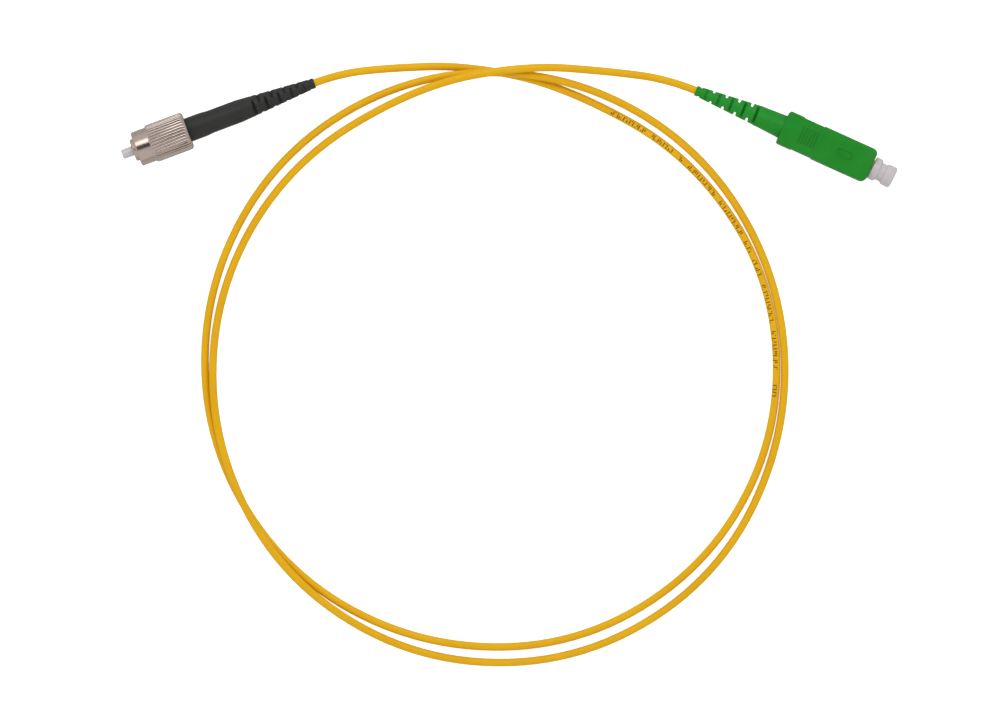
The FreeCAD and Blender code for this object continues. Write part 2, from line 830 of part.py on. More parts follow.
def cord_layer(path, radius, bore):
    """One layer of the cord, swept along the whole path."""
    at = path.Vertexes[0].Point
    along = path.Edges[0].tangentAt(path.Edges[0].FirstParameter)
    rings = [Part.Wire(Part.makeCircle(r, at, along)) for r in (radius, bore) if r > 0]
    section = Part.Face(rings[0])
    if bore > 0:
        section = section.cut(Part.Face(rings[1])).Faces[0]
    return path.makePipe(section)


def cord():
    """The cord's jacket, its yarn layer and its buffered fibre."""
    path, radii = cord_path(cord_route)
    yarn_out, yarn_in = jacket_bore - sliding_fit, buffer_radius + sliding_fit
    layers = {
        "cable_jacket": (cable_radius, jacket_bore),
        "cable_yarn": (yarn_out, yarn_in),
        "cable_fibre": (buffer_radius, 0),
    }
    shapes = {}
    print("cord length %.1f, radii %s" % (path.Length, [round(r) for r in radii]))
    for name, (radius, bore) in layers.items():
        shapes[name] = cord_layer(path, radius, bore)
        wanted = math.pi * (radius ** 2 - bore ** 2) * path.Length
        print("%s volume %.2f, section x length %.2f" % (name, shapes[name].Volume, wanted))
    return shapes


# ---------------------------------------------------------------- assembly
def fc_placement():
    """Sets the FC plug on the cord's first point, in line with the first run."""
    end, nxt = V(*cord_route[0]), V(*cord_route[1])
    forward = end - nxt
    turn = FreeCAD.Rotation(V(0, 0, 1), math.degrees(math.atan2(forward.y, forward.x)))
    return FreeCAD.Placement(end - turn.multVec(V(fc_boot_end, 0, 0)), turn)


def sc_placement():
    """Sets the SC plug on the cord's last point, so that its bent boot meets the last run."""
    end, before = V(*cord_route[-1]), V(*cord_route[-2])
    forward = end - before
    behind = bend_frame(-sc_boot_smooth_length, sc_boot_bend_length, sc_boot_bend_deg)[1]
    heading = math.degrees(math.atan2(forward.y, forward.x)) - sc_boot_bend_deg
    turn = FreeCAD.Rotation(V(0, 0, 1), heading)
    tail_end = behind.multVec(V(-tail_length, 0, 0))
    return FreeCAD.Placement(end - turn.multVec(tail_end), turn)


def placed(shapes, placement):
    """The shapes moved from a plug's own frame to the cord's end."""
    moved = {}
    for name, shape in shapes.items():
        copy = shape.copy()
        copy.Placement = placement.multiply(copy.Placement)
        moved[name] = copy
    return moved


def main():
    """Builds every piece and writes one STEP file for each."""
    os.makedirs("parts", exist_ok=True)
    pieces = {}
    pieces.update(placed(fc_plug(), fc_placement()))
    pieces.update(placed(sc_plug(), sc_placement()))
    pieces.update(cord())
    for name, shape in pieces.items():
        shape.exportStep("parts/%s.step" % name)
    return pieces


main()
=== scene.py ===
"""Fibre optic patch cord: a ribbed screw-on plug, a square plug under its dust cap, a yellow cord.

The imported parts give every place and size. This script gives them their surfaces, lays the cord
as one smooth curve, and sets the floor, the light and the camera.
"""
import json
import logging
import math
from dataclasses import dataclass, field
from enum import Enum

import bmesh
import bpy
import numpy as np
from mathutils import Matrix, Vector


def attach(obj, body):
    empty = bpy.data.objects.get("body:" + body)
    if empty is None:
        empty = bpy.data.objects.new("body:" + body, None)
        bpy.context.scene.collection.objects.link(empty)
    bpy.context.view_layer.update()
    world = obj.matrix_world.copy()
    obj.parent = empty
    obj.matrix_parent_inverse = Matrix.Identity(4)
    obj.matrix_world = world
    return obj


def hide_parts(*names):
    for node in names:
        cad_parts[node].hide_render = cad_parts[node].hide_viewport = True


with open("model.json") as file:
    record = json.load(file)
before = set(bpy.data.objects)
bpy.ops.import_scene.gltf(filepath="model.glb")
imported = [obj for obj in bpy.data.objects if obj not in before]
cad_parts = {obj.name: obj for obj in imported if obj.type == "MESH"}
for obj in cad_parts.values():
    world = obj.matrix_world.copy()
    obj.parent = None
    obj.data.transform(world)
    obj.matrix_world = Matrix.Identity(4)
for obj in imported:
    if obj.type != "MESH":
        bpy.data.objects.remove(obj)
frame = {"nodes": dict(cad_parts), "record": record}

log = logging.getLogger("patch_cord")
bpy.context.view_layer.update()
MM = 0.001
GRIP_LENGTH = 25.0 * MM
Array = np.ndarray
Colour = tuple[float, float, float]


class Body(Enum):
    """The rigid bodies that pieces ride on, by their names in the record."""

    CORD = "cord_and_backbones"
    FC_NUT = "fc_nut"
    FC_FERRULE = "fc_ferrule_set"
    SC_GRIP = "sc_grip"
    SC_FERRULE = "sc_ferrule_set"
    SC_CAP = "sc_cap"


# ---------------------------------------------------------------- places
@dataclass(frozen=True)
class PlugPlace:
    """Where a plug stands: the point its sizes are counted from, and its forward direction."""

    origin: Array
    forward: Array

    @classmethod
    def from_record(cls, joint: str, mount: str, reach: float) -> "PlugPlace":
        """Reads a plug's place from one of its joints and one of its mounts.

        Args:
            joint: name of a joint that slides along the plug's axis.
            mount: name of a mount on that axis.
            reach: how far in front of the plug's origin the mount is, in metres.

        Returns:
            The plug's place in the shared frame.
        """
        record = frame["record"]
        axis = next(j["axis"] for j in record["behaviour"]["joints"] if j["name"] == joint)
        at = next(m["pos_m"] for m in record["mounts"] if m["name"] == mount)
        forward = np.array(axis, float)
        return cls(np.array(at, float) - forward * reach, forward)

    def to_world(self, points: Array) -> Array:
        """Carries points from the plug's own axes, x forward and z up, to the shared frame.

        Args:
            points: array of shape (..., 3) in metres.

        Returns:
            An array of the same shape: origin + x forward + y side + z up.
        """
        side = np.array([-self.forward[1], self.forward[0], 0.0])
        return self.origin + points @ np.stack([self.forward, side, [0.0, 0.0, 1.0]])


# ---------------------------------------------------------------- mesh making
def loop_faces(rows: int, cols: int, close_rows: bool) -> Array:
    """Quads of a grid whose columns go round.

    Args:
        rows: number of rows of points.
        cols: number of points in each row; the last one joins the first.
        close_rows: whether the last row joins the first too.

    Returns:
        (m, 4) indices, each quad a point, its neighbour in the row, and the two in the next row.
    """
    row = np.arange(rows if close_rows else rows - 1)[:, None]
    col = np.arange(cols)[None, :]
    here, ahead = row * cols, (row + 1) % rows * cols
    beside = (col + 1) % cols
    return np.stack([here + col, here + beside, ahead + beside, ahead + col], axis=-1).reshape(-1, 4)


def facing_out(verts: Array, faces: list[Array]) -> list[Array]:
    """Turns every face round if the closed surface would enclose a negative volume.

    Args:
        verts: (n, 3) points.
        faces: arrays of triangles or quads that close a surface.

    Returns:
        The same arrays, in the order that makes the faces look outwards. The volume is the sum of
        the signed tetrahedra that each triangle makes with the origin.
    """
    thirds = [block[:, [0, i, i + 1]] for block in faces for i in range(1, block.shape[1] - 1)]
    corner = verts[np.concatenate(thirds)]
    volume = np.einsum("ij,ij->i", corner[:, 0], np.cross(corner[:, 1], corner[:, 2])).sum()
    return faces if volume > 0 else [block[:, ::-1] for block in faces]


@dataclass(frozen=True)
class Skin:
    """A surface ready to become a piece: rows of points that go round, closed or capped."""

    name: str
    grid: Array
    close_rows: bool = False
    capped: bool = False
    crease: float = 35.0

    def build(self, body: Body, material: bpy.types.Material, slot: str,
              *stands_for: str) -> bpy.types.Object:
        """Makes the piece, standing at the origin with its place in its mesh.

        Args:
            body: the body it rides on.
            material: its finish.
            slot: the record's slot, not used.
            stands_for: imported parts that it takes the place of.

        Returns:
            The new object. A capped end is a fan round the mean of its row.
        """
        rows, cols = self.grid.shape[:2]
        verts = self.grid.reshape(-1, 3)
        faces = [loop_faces(rows, cols, self.close_rows)]
        if self.capped:
            col = np.arange(cols)
            last = (rows - 1) * cols
            middle = rows * cols
            verts = np.concatenate([verts, self.grid[[0, -1]].mean(axis=1)])
            faces.append(np.stack([(col + 1) % cols, col, np.full(cols, middle)], axis=-1))
            faces.append(np.stack([last + col, last + (col + 1) % cols, np.full(cols, middle + 1)],
                                  axis=-1))
        faces = facing_out(verts, faces)
        mesh = bpy.data.meshes.new(self.name)
        mesh.from_pydata(verts.tolist(), [], [row for block in faces for row in block.tolist()])
        return finish_piece(mesh, body, material, stands_for, self.crease)


def finish_piece(mesh: bpy.types.Mesh, body: Body, material: bpy.types.Material,
                 stands_for: tuple[str, ...], crease: float) -> bpy.types.Object:
    """Shades a mesh smooth up to an angle and enters it as a piece.

    Args:
        mesh: the finished mesh, named as the piece will be.
        body: the body it rides on.
        material: its finish.
        stands_for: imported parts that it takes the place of.
        crease: the angle in degrees past which an edge stays sharp.

    Returns:
        The new object.
    """
    mesh.polygons.foreach_set("use_smooth", np.ones(len(mesh.polygons), dtype=bool))
    mesh.set_sharp_from_angle(angle=math.radians(crease))
    mesh.materials.append(material)
    mesh.update()
    piece = bpy.data.objects.new(mesh.name, mesh)
    bpy.context.scene.collection.objects.link(piece)
    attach(piece, body.value)
    if stands_for:
        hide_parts(*stands_for)
    log.info("built %s, %d faces", mesh.name, len(mesh.polygons))
    return piece


def eased(outline: list[tuple[float, float]], radius: float | Array, steps: int = 5,
          closed: bool = True) -> Array:
    """Rounds the corners of an outline.

    Args:
        outline: its corners, (x, r) in millimetres.
        radius: how far from each corner the rounding starts, at most 45% of the side.
        steps: points on each rounded corner.
        closed: whether the last corner joins the first.

    Returns:
        (n, 2) points. Each corner c with neighbours a and b becomes the quadratic curve from
        c + (a - c) k to c + (b - c) m that has c as its middle control point.
    """
    corners = np.array(outline, float)
    before, after = np.roll(corners, 1, axis=0), np.roll(corners, -1, axis=0)
    radius = np.broadcast_to(radius, len(corners)).astype(float)
    ends = []
    for other in (before, after):
        side = other - corners
        length = np.maximum(np.linalg.norm(side, axis=1), 1e-9)
        ends.append(corners + side * (np.minimum(radius, 0.45 * length) / length)[:, None])
    t = np.linspace(0.0, 1.0, steps)[None, :, None]
    first, last = ends[0][:, None], ends[1][:, None]
    curve = (1 - t) ** 2 * first + 2 * t * (1 - t) * corners[:, None] + t ** 2 * last
    if not closed:
        curve[0], curve[-1] = corners[0], corners[-1]
    return curve.reshape(-1, 2)


def turned(outline: Array, cols: int) -> Array:
    """Turns an outline about the x axis.

    Args:
        outline: (rows, 2) points (x, r), or r of shape (rows, cols) beside x in a tuple.
        cols: how many points go round.

    Returns:
        (rows, cols, 3) points (x, r cos a, r sin a) in metres, from millimetres.
    """
    x, r = (outline[:, 0], outline[:, 1]) if isinstance(outline, np.ndarray) else outline
    angle = np.arange(cols) * 2 * np.pi / cols
    r = r if r.ndim == 2 else np.repeat(r[:, None], cols, axis=1)
    x = np.broadcast_to(x[:, None], r.shape)
    return MM * np.stack([x, r * np.cos(angle), r * np.sin(angle)], axis=-1)


def smoothstep(t: Array) -> Array:
    """0 below 0, 1 above 1, and 3t^2 - 2t^3 between."""
    t = np.clip(t, 0.0, 1.0)
    return t * t * (3 - 2 * t)


def tube_along(path: Array, radius: Array, sides: int, up: Array) -> Array:
    """Rows of points round a path.

    Args:
        path: (n, 3) points.
        radius: (n,) or one radius.
        sides: points in each row.
        up: (n, 3) or one direction, not along the path.

    Returns:
        (n, sides, 3): path + radius (side cos a + top sin a), with side and top at right angles to
        the path's direction.
    """
    along = np.gradient(path, axis=0)
    along /= np.linalg.norm(along, axis=1)[:, None]
    side = np.cross(along, np.broadcast_to(up, path.shape))
    side /= np.linalg.norm(side, axis=1)[:, None]
    top = np.cross(side, along)
    angle = (np.arange(sides) * 2 * np.pi / sides)[None, :, None]
    radius = np.broadcast_to(radius, len(path))[:, None, None]
    return path[:, None] + radius * (side[:, None] * np.cos(angle) + top[:, None] * np.sin(angle))


# ---------------------------------------------------------------- node trees
class Nodes:
    """A short hand for one node tree: adds nodes with their values and joins them."""

    def __init__(self, tree: bpy.types.NodeTree) -> None:
        """Keeps the tree that the other methods write to."""
        self.tree = tree

    def add(self, kind: str, inputs: dict | None = None, **settings: object) -> bpy.types.Node:
        """Adds a node.

        Args:
            kind: the node's type, without the word ShaderNode.
            inputs: socket name or number to a value, or to an output socket to join to it.
            settings: the node's own properties.

        Returns:
            The new node.
        """
        node = self.tree.nodes.new("ShaderNode" + kind)
        for key, value in settings.items():
            setattr(node, key, value)
        for key, value in (inputs or {}).items():
            if isinstance(value, bpy.types.NodeSocket):
                self.tree.links.new(value, node.inputs[key])
            else:
                node.inputs[key].default_value = value
        return node

    def inverse(self, value: bpy.types.NodeSocket) -> bpy.types.NodeSocket:
        """1 / value."""
        return self.add("Math", {0: 1.0, 1: value}, operation="DIVIDE").outputs[0]

    def ramp(self, factor: bpy.types.NodeSocket,
             stops: list[tuple[float, float]]) -> bpy.types.NodeSocket:
        """Adds a grey ramp.

        Args:
            factor: what the ramp reads.
            stops: pairs of position and grey value.

        Returns:
            The ramp's colour output.
        """
        node = self.add("ValToRGB", {"Fac": factor})
        elements = node.color_ramp.elements
        for place, grey in stops[2:]:
            elements.new(place)
        for element, (place, grey) in zip(elements, stops):
            element.position, element.color = place, (grey, grey, grey, 1.0)
        return node.outputs["Color"]


def new_group(name: str, inputs: dict[str, tuple[str, float]], outputs: dict[str, str]) -> tuple:
    """Starts a shader node group with named inputs and outputs.

    Args:
        name: the group's name.
        inputs: socket name to its kind (Float, Color or Vector) and its default.
        outputs: socket name to its kind.

    Returns:
        The tree, a hand on it, its input node and its output node.
    """
    tree = bpy.data.node_groups.new(name, "ShaderNodeTree")
    for key, (kind, default) in inputs.items():
        socket = tree.interface.new_socket(key, in_out="INPUT", socket_type="NodeSocket" + kind)
        if kind == "Float":
            socket.default_value = default
    for key, kind in outputs.items():
        tree.interface.new_socket(key, in_out="OUTPUT", socket_type="NodeSocket" + kind)
    hand = Nodes(tree)
    return tree, hand, tree.nodes.new("NodeGroupInput"), tree.nodes.new("NodeGroupOutput")


def grain_group() -> bpy.types.NodeTree:
    """Moulded or ground grain: a broad tone drift and a fine height, both from noise.

    Returns:
        A group with outputs Tone (0 to 1, round 0.5) and Height.
    """
    tree, hand, given, out = new_group(
        "grain", {"Position": ("Vector", 0), "Grain Size": ("Float", 0.0002),
                  "Drift Size": ("Float", 0.004)},
        {"Tone": "Float", "Height": "Float"})
    fine = hand.add("TexNoise", {"Vector": given.outputs["Position"], "Detail": 3.0,
                                 "Scale": hand.inverse(given.outputs["Grain Size"]), "Roughness": 0.55})
    drift = hand.add("TexNoise", {"Vector": given.outputs["Position"], "Detail": 2.0,
                                  "Scale": hand.inverse(given.outputs["Drift Size"])})
    tree.links.new(drift.outputs["Fac"], out.inputs["Tone"])
    tree.links.new(fine.outputs["Fac"], out.inputs["Height"])
    return tree


def scratch_group() -> bpy.types.NodeTree:
    """Fine marks along one direction: noise squeezed across it and stretched along it.

    Returns:
        A group with outputs Mask (0 to 1, mostly 0) and Height.
    """
    tree, hand, given, out = new_group(
        "scratches", {"Position": ("Vector", 0), "Width": ("Float", 0.00012),
                      "Length": ("Float", 0.004)},
        {"Mask": "Float", "Height": "Float"})
    across = hand.inverse(given.outputs["Width"])
    squeeze = hand.add("CombineXYZ", {0: hand.inverse(given.outputs["Length"]), 1: across, 2: across})
    place = hand.add("VectorMath", {0: given.outputs["Position"], 1: squeeze.outputs[0]},
                     operation="MULTIPLY")
    noise = hand.add("TexNoise", {"Vector": place.outputs[0], "Scale": 1.0, "Detail": 4.0})
    mask = hand.ramp(noise.outputs["Fac"], [(0.56, 0.0), (0.74, 1.0)])
    tree.links.new(mask, out.inputs["Mask"])
    tree.links.new(noise.outputs["Fac"], out.inputs["Height"])
    return tree


@dataclass
class Effects:
    """The node groups that several finishes share, each made once."""

    grain: bpy.types.NodeTree = field(default_factory=grain_group)
    scratches: bpy.types.NodeTree = field(default_factory=scratch_group)


# ---------------------------------------------------------------- finishes
@dataclass(frozen=True)
class Finish:
    """A dressed surface: a base colour that drifts, a fine bump, and the shader's own numbers."""

    name: str
    colour: Colour
    shade: Colour
    roughness: float
    roughness_spread: float = 0.08
    metallic: float = 0.0
    grain_size: float = 0.0002
    drift_size: float = 0.004
    bump: float = 0.15
    bump_depth: float = 0.00002
    coat: float = 0.0
    coat_roughness: float = 0.2
    transmission: float = 0.0
    subsurface: float = 0.0
    sheen: float = 0.0
    scratched: float = 0.0
    turn: float = 0.0
    specular: float = 0.5

    def build(self, effects: Effects) -> bpy.types.Material:
        """Makes the material.

        Args:
            effects: the shared node groups.

        Returns:
            A node material with the Principled BSDF in its own tree.
        """
        material = bpy.data.materials.new(self.name)
        material.use_nodes = True
        hand = Nodes(material.node_tree)
        shader = material.node_tree.nodes["Principled BSDF"]
        place = hand.add("TexCoord").outputs["Object"]
        turned = hand.add("Mapping", {"Vector": place, "Rotation": (0.0, 0.0, -self.turn)})
        grain = hand.add("Group", node_tree=effects.grain)
        grain.inputs["Grain Size"].default_value = self.grain_size
        grain.inputs["Drift Size"].default_value = self.drift_size
        material.node_tree.links.new(turned.outputs[0], grain.inputs["Position"])
        tone = hand.ramp(grain.outputs["Tone"], [(0.3, 0.0), (0.7, 1.0)])
        colour = hand.add("Mix", {0: tone, "A": (*self.shade, 1), "B": (*self.colour, 1)},
                          data_type="RGBA")
        spread = hand.add("MapRange", {0: grain.outputs["Height"], "From Min": 0.3, "From Max": 0.7,
                                       "To Min": self.roughness - self.roughness_spread,
                                       "To Max": self.roughness + self.roughness_spread})
        rough, height = spread.outputs[0], grain.outputs["Height"]
        if self.scratched:
            marks = hand.add("Group", node_tree=effects.scratches)
            material.node_tree.links.new(turned.outputs[0], marks.inputs["Position"])
            worn = hand.add("Math", {0: marks.outputs["Mask"], 1: self.scratched},
                            operation="MULTIPLY").outputs[0]
            rough = hand.add("Math", {0: rough, 1: worn}, operation="ADD").outputs[0]
            height = hand.add("Math", {0: height, 1: marks.outputs["Height"]},
                              operation="ADD").outputs[0]
        bump = hand.add("Bump", {"Height": height, "Strength": self.bump, "Distance": self.bump_depth})
        for socket, output in (("Base Color", colour.outputs["Result"]), ("Roughness", rough),
                               ("Normal", bump.outputs[0])):
            material.node_tree.links.new(output, shader.inputs[socket])
        for socket, value in (("Metallic", self.metallic), ("Coat Weight", self.coat),
                              ("Coat Roughness", self.coat_roughness),
                              ("Transmission Weight", self.transmission),
                              ("Subsurface Weight", self.subsurface), ("Subsurface Scale", 0.001),
                              ("Sheen Weight", self.sheen), ("Specular IOR Level", self.specular)):
            shader.inputs[socket].default_value = value
        material.diffuse_color = (*self.colour, 1)
        return material


class Palette:
    """Every finish of the cord, made when first asked for."""

    def __init__(self) -> None:
        """Makes the shared effects and the finishes."""
        self.effects = Effects()
        self.made: dict[str, bpy.types.Material] = {}
        self.finishes = {f.name: f for f in (
            Finish("yellow_jacket", (0.86, 0.475, 0.003), (0.81, 0.43, 0.002), 0.42, drift_size=0.012,
                   roughness_spread=0.03, bump=0.06, specular=0.18),
            Finish("legend_ink", (0.13, 0.040, 0.004), (0.20, 0.075, 0.006), 0.6, specular=0.1),
            Finish("black_boot", (0.026, 0.0255, 0.025), (0.020, 0.0195, 0.019), 0.52, bump=0.15,
                   roughness_spread=0.04, grain_size=0.00015, specular=0.3),
            Finish("green_boot", (0.009, 0.300, 0.020), (0.007, 0.255, 0.015), 0.5, bump=0.12,
                   roughness_spread=0.04, grain_size=0.00015, specular=0.25),
            Finish("green_grip", (0.009, 0.262, 0.015), (0.008, 0.235, 0.013), 0.4, bump=0.08,
                   roughness_spread=0.04, grain_size=0.00018, coat=0.05, specular=0.25),
            Finish("nickel_plate", (0.50, 0.418, 0.375), (0.47, 0.39, 0.35), 0.21, metallic=1.0,
                   roughness_spread=0.025, bump=0.03, scratched=0.05, turn=0.357),
            Finish("zirconia", (0.66, 0.61, 0.61), (0.63, 0.58, 0.58), 0.3, bump=0.04, coat=0.2,
                   roughness_spread=0.03, subsurface=0.1),
            Finish("spring_wire", (0.40, 0.39, 0.39), (0.35, 0.34, 0.34), 0.3, metallic=1.0, bump=0.1),
            Finish("crimp_sleeve", (0.66, 0.65, 0.63), (0.58, 0.57, 0.56), 0.35, metallic=1.0, bump=0.1,
                   scratched=0.1),
            Finish("aramid_yarn", (0.80, 0.62, 0.14), (0.62, 0.45, 0.08), 0.7, bump=0.8, sheen=0.4,
                   scratched=0.1),
            Finish("buffer_coat", (0.85, 0.84, 0.80), (0.80, 0.79, 0.75), 0.45),
            Finish("bare_glass", (0.92, 0.95, 0.96), (0.9, 0.93, 0.95), 0.1, transmission=0.8),
            Finish("frame_white", (0.74, 0.72, 0.68), (0.70, 0.68, 0.64), 0.42, bump=0.08,
                   roughness_spread=0.04),
            Finish("milky_cap", (0.68, 0.625, 0.64), (0.65, 0.595, 0.61), 0.3, coat=0.15, bump=0.03,
                   roughness_spread=0.02, grain_size=0.0005, subsurface=0.2, transmission=0.1),
        )}

    def get(self, name: str) -> bpy.types.Material:
        """The material of that name."""
        if name not in self.made:
            self.made[name] = self.finishes[name].build(self.effects)
        return self.made[name]

    def dress(self, node: str, name: str) -> None:
        """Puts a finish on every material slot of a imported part.

        Args:
            node: the part's name.
            name: the finish's name.
        """
        part = frame["nodes"][node]
        for place in part.material_slots:
            place.link = "OBJECT"
            place.material = self.get(name)
        log.info("dressed %s in %s", node, name)


# ---------------------------------------------------------------- the cord
@dataclass
class Cord:
    """The yellow cord: the route's points as one smooth spline, and the legend printed on it."""

    palette: Palette
    radius: float = 1.0 * MM
    length: float = 1.035
    floor: float = 1.0
    over_one: float = 3.2
    over_two: float = 5.5
    fc_axis: float = 5.0
    sc_axis: float = 4.2
    legend_start: float = 80.0 * MM
    legend_length: float = 92.0 * MM
    legend_pitch: float = 1.75 * MM
    legend_lean: float = 0.1
    legend_turn: float = 0.3
    tick_half_width: float = 0.13 * MM
    tick_spacing: float = 0.5 * MM
    tick_reaches: tuple[float, float, float] = (0.13, 0.36, 0.60)
    ink_height: float = 0.008 * MM

    def route(self) -> Array:
        """The cord's points from the screw-on plug's boot to the square plug's, in metres."""
        low, one, two, fc, sc = self.floor, self.over_one, self.over_two, self.fc_axis, self.sc_axis
        return MM * np.array([
            (-50.3, 12.9, fc), (-44.0, 15.25, fc), (-31.9, 16.8, 2.9), (-11.6, 17.7, low),
            (13.9, 12.4, low), (47.0, -5.7, low), (68.3, -38.1, low), (69.8, -77.6, low),
            (51.2, -112.0, low), (17.3, -132.7, low), (-22.4, -132.9, low), (-57.3, -114.5, low),
            (-78.4, -80.4, low), (-79.1, -40.4, low), (-60.0, -5.0, low), (-25.4, 15.5, one),
            (14.5, 15.8, one), (49.6, -3.5, low), (70.3, -37.9, low), (72.0, -77.9, low),
            (54.0, -114.9, low), (18.3, -136.9, low), (-23.4, -136.8, low), (-58.4, -115.5, one),
            (-77.0, -80.0, one), (-76.3, -41.1, low), (-57.1, -7.8, low), (-23.8, 12.1, two),
            (4.4, 17.5, two), (26.4, 15.9, 3.5), (40.9, 13.9, sc), (48.1, 10.98, sc),
        ])

    def spline(self, name: str, radius: float) -> bpy.types.Object:
        """One open NURBS curve along the route.

        Args:
            name: the curve's name.
            radius: the tube's radius in metres; 0 gives the bare line.

        Returns:
            The curve object.
        """
        points = self.route()
        curve = bpy.data.curves.new(name, "CURVE")
        curve.dimensions = "3D"
        line = curve.splines.new("NURBS")
        line.points.add(len(points) - 1)
        line.points.foreach_set("co", np.column_stack([points, np.ones(len(points))]).ravel())
        line.order_u = 3
        line.use_endpoint_u = True
        line.resolution_u = 12
        curve.bevel_depth = radius
        curve.bevel_resolution = 6
        piece = bpy.data.objects.new(name, curve)
        bpy.context.scene.collection.objects.link(piece)
        return piece

    def build(self) -> None:
        """Lays the cord as a tube, hides the imported cable parts and prints the legend on it."""
        piece = self.spline("cord", self.radius)
        piece.data.materials.append(self.palette.get("yellow_jacket"))
        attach(piece, Body.CORD.value)
        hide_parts("cable_jacket", "cable_yarn", "cable_fibre")
        self.print_legend()
        log.info("cord laid, %d points", len(self.route()))

    def centre_line(self) -> Array:
        """The points of the spline itself, read from the curve with no thickness."""
        line = self.spline("cord_line", 0.0)
        bpy.context.view_layer.update()
        settled = line.evaluated_get(bpy.context.evaluated_depsgraph_get())
        mesh = bpy.data.meshes.new_from_object(settled)
        points = np.empty(len(mesh.vertices) * 3)
        mesh.vertices.foreach_get("co", points)
        bpy.data.meshes.remove(mesh)
        curve = line.data
        bpy.data.objects.remove(line)
        bpy.data.curves.remove(curve)
        return points.reshape(-1, 3)

    def strokes(self) -> Array:
        """The legend's ticks: plain upright bars of three heights that stand apart from each other.

        Returns:
            (n, 4) rows of place along the line, half width, middle angle and half angle. Cells of
            three ticks follow each other at the pitch, a few cells left out; a tick's height is
            one of three by the sine of its number, and it stands on the base line or hangs from
            the top one by another.
        """
        cell = np.arange(int(self.legend_length / self.legend_pitch))
        cell = cell[(cell % 7 != 6) & (cell % 19 != 11)]
        beside = np.array([-1.0, 0.0, 1.0]) * self.tick_spacing
        place = self.legend_start + cell[:, None] * self.legend_pitch + beside
        number = 3 * cell[:, None] + np.arange(3)
        height = np.digitize(np.sin(number * 2.4), [-0.45, 0.35])
        reach = np.array(self.tick_reaches)[height]
        lift = (self.tick_reaches[-1] - reach) * np.sign(np.sin(number * 1.7 + 0.6))
        width = np.full(place.shape, self.tick_half_width)
        return np.stack([place, width, lift, reach], axis=-1).reshape(-1, 4)

    def print_legend(self) -> bpy.types.Object:
        """Prints the row of short plain ticks along one stretch of the jacket.

        Returns:
            The piece. Each tick is a thin patch: distance along the line times angle round the
            jacket, the angle counted from the top.
        """
        line = self.centre_line()
        step = np.linalg.norm(np.diff(line, axis=0), axis=1)
        run = np.concatenate([[0.0], np.cumsum(step)])
        strokes = self.strokes()
        long, wide = 3, 5
        cells = np.stack(np.meshgrid(np.linspace(-1.0, 1.0, long), np.linspace(-1.0, 1.0, wide),
                                     indexing="ij"), axis=-1).reshape(1, -1, 2)
        along = strokes[:, None, 0] + strokes[:, None, 1] * cells[..., 0]
        centre = np.stack([np.interp(along, run, line[:, k]) for k in range(3)], axis=-1)
        ahead = np.stack([np.interp(along + 0.5 * MM, run, line[:, k]) for k in range(3)], axis=-1)
        forward = ahead - centre
        forward /= np.linalg.norm(forward, axis=-1)[..., None]
        side = np.cross(forward, [0.0, 0.0, 1.0])
        side /= np.linalg.norm(side, axis=-1)[..., None]
        top = np.cross(side, forward)
        turn = self.legend_turn * (along - self.legend_start) / self.legend_length + self.legend_lean
        angle = turn + strokes[:, None, 2] + strokes[:, None, 3] * cells[..., 1]
        outward = top * np.cos(angle)[..., None] + side * np.sin(angle)[..., None]
        layers = [centre + outward * (self.radius + h) for h in (self.ink_height, -self.ink_height)]
        verts = np.stack(layers, axis=1).reshape(-1, 3)
        faces = self.patch_faces(long, wide)
        offset = np.arange(len(strokes))[:, None, None] * 2 * long * wide
        blocks = facing_out(verts, [(faces[None] + offset).reshape(-1, 4)])
        mesh = bpy.data.meshes.new("cord_legend")
        mesh.from_pydata(verts.tolist(), [], blocks[0].tolist())
        return finish_piece(mesh, Body.CORD, self.palette.get("legend_ink"), (), 40.0)

    @staticmethod
    def patch_faces(rows: int, cols: int) -> Array:
        """Faces of a thin closed patch: a grid above, the same grid below, and a rim of quads.

        Args:
            rows: points along.
            cols: points across.

        Returns:
            (m, 4) indices into the upper grid's points followed by the lower grid's.
        """
        size = rows * cols
        grid = np.arange(size).reshape(rows, cols)
        top = np.stack([grid[:-1, :-1], grid[1:, :-1], grid[1:, 1:], grid[:-1, 1:]], axis=-1)
        top = top.reshape(-1, 4)
        ring = np.concatenate([grid[0, :-1], grid[:-1, -1], grid[-1, :0:-1], grid[:0:-1, 0]])
        after = np.roll(ring, -1)
        rim = np.stack([ring, after, after + size, ring + size], axis=-1)
        return np.concatenate([top, top[:, ::-1] + size, rim])


